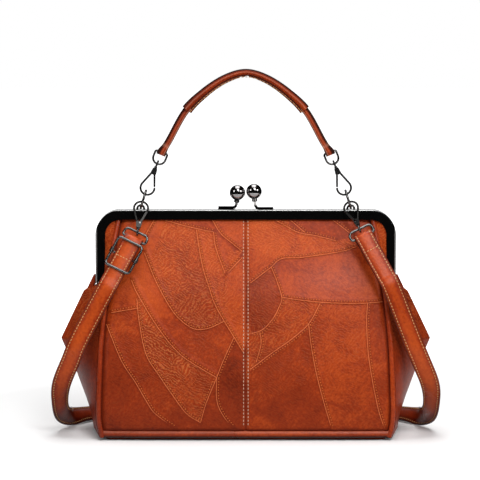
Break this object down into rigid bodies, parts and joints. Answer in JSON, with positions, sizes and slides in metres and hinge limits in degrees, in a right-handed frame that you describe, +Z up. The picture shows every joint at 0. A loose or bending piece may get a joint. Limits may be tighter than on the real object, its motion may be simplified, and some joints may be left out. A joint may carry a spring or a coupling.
{
  "type": "kiss lock frame purse",
  "caption": "Handbag on a hinged metal kiss lock frame, with a patchwork leather body, folded side gussets, an arched top handle on snap hooks and an adjustable shoulder strap.",
  "frame": {"origin": "middle of the base underside, on the floor", "axes": "+Z up, -Y is the front with the strap hooks, +X along the frame to the right seen from the front"},
  "size_m": [0.3382, 0.1542, 0.3184],
  "materials": {
    "leather_panel": "satin waxed patchwork leather",
    "leather_trim": "satin",
    "gunmetal": "glossy black nickel",
    "lining": "woven cotton",
    "board": "matte"
  },
  "bodies": {
    "bag": {"front_panel_left": "leather_panel", "front_panel_right": "leather_panel", "rear_panel_lower": "leather_panel", "rear_panel_fold": "leather_panel", "base_panel": "leather_panel", "base_board": "board", "front_piping": "leather_trim", "rear_piping_lower": "leather_trim", "lining_tub": "lining", "lining_front": "lining", "lining_rear_fold": "lining", "gusset_left": "leather_panel", "gusset_left_fold": "leather_panel", "gusset_left_front": "leather_panel", "gusset_right": "leather_panel", "gusset_right_fold": "leather_panel", "gusset_right_front": "leather_panel", "rear_piping_fold": "leather_trim", "frame_front": "gunmetal", "clasp_arm_front": "gunmetal", "clasp_ball_front": "gunmetal", "hinge_rivets": "gunmetal", "staple_left": "gunmetal", "ring_left": "gunmetal", "strap_loop_left": "gunmetal", "strap_left_swivel": "gunmetal", "staple_right": "gunmetal", "ring_right": "gunmetal", "strap_loop_right": "gunmetal", "strap_right_swivel": "gunmetal", "shoulder_strap": "leather_trim", "strap_tail": "leather_trim"},
    "rear_half": {"frame_rear": "gunmetal", "clasp_arm_rear": "gunmetal", "clasp_ball_rear": "gunmetal", "rear_panel_upper": "leather_panel", "lining_rear_upper": "lining", "rear_piping_upper": "leather_trim", "gusset_left_rear": "leather_panel", "gusset_right_rear": "leather_panel"},
    "handle": {"handle_strap": "leather_trim", "handle_grip": "leather_trim", "handle_ring_left": "gunmetal", "handle_ring_right": "gunmetal", "handle_left_swivel": "gunmetal", "handle_right_swivel": "gunmetal"},
    "slider": {"slider_frame": "gunmetal", "slider_bar": "gunmetal"},
    "handle_hook_left": {"handle_left_hook": "gunmetal", "handle_left_rivet": "gunmetal"},
    "handle_gate_left": {"handle_left_gate": "gunmetal"},
    "strap_hook_left": {"strap_left_hook": "gunmetal", "strap_left_rivet": "gunmetal"},
    "strap_gate_left": {"strap_left_gate": "gunmetal"},
    "handle_hook_right": {"handle_right_hook": "gunmetal", "handle_right_rivet": "gunmetal"},
    "handle_gate_right": {"handle_right_gate": "gunmetal"},
    "strap_hook_right": {"strap_right_hook": "gunmetal", "strap_right_rivet": "gunmetal"},
    "strap_gate_right": {"strap_right_gate": "gunmetal"}
  },
  "joints": [
    {"name": "frame_open", "type": "hinge", "parent": "bag", "child": "rear_half", "pos_m": [0, 0, 0.126], "axis": [-1, 0, 0], "range_deg": [0, 60], "deforming": ["rear_panel_fold", "lining_rear_fold", "rear_piping_fold", "gusset_left_fold", "gusset_right_fold"]},
    {"name": "handle_swing", "type": "hinge", "parent": "bag", "child": "handle", "pos_m": [0, -0.00395, 0.2041], "axis": [1, 0, 0], "range_deg": [-68, 68]},
    {"name": "handle_hook_turn_left", "type": "hinge", "parent": "handle", "child": "handle_hook_left", "pos_m": [-0.08782, -0.00395, 0.2085], "axis": [0.3746, 0, 0.9272], "range_deg": [-20, 20]},
    {"name": "handle_gate_left_press", "type": "hinge", "parent": "handle_hook_left", "child": "handle_gate_left", "pos_m": [-0.07938, -0.00395, 0.22698], "axis": [0, 1, 0], "range_deg": [0, 20], "stiffness_Nm_per_rad": 0.01, "springref_deg": -17.19},
    {"name": "strap_hook_turn_left", "type": "hinge", "parent": "bag", "child": "strap_hook_left", "pos_m": [-0.09019, -0.00872, 0.20239], "axis": [-0.1205, -0.452, -0.8839], "range_deg": [-20, 20]},
    {"name": "strap_gate_left_press", "type": "hinge", "parent": "strap_hook_left", "child": "strap_gate_left", "pos_m": [-0.09175, -0.01789, 0.18433], "axis": [0.0611, -0.892, 0.4478], "range_deg": [0, 20], "stiffness_Nm_per_rad": 0.01, "springref_deg": -17.19},
    {"name": "handle_hook_turn_right", "type": "hinge", "parent": "handle", "child": "handle_hook_right", "pos_m": [0.08782, -0.00395, 0.2085], "axis": [-0.3746, 0, 0.9272], "range_deg": [-20, 20]},
    {"name": "handle_gate_right_press", "type": "hinge", "parent": "handle_hook_right", "child": "handle_gate_right", "pos_m": [0.07938, -0.00395, 0.22698], "axis": [0, -1, 0], "range_deg": [0, 20], "stiffness_Nm_per_rad": 0.01, "springref_deg": -17.19},
    {"name": "strap_hook_turn_right", "type": "hinge", "parent": "bag", "child": "strap_hook_right", "pos_m": [0.08958, -0.00831, 0.20198], "axis": [0.3011, -0.5721, -0.7629], "range_deg": [-20, 20]},
    {"name": "strap_gate_right_press", "type": "hinge", "parent": "strap_hook_right", "child": "strap_gate_right", "pos_m": [0.09485, -0.01992, 0.18617], "axis": [0.2101, 0.8201, -0.5322], "range_deg": [0, 20], "stiffness_Nm_per_rad": 0.01, "springref_deg": -17.19},
    {"name": "slider_slide", "type": "slide", "parent": "bag", "child": "slider", "axis": [-0.4579, -0.3285, -0.8261], "range_m": [0, 0.03], "deforming": ["strap_tail"]}
  ]
}
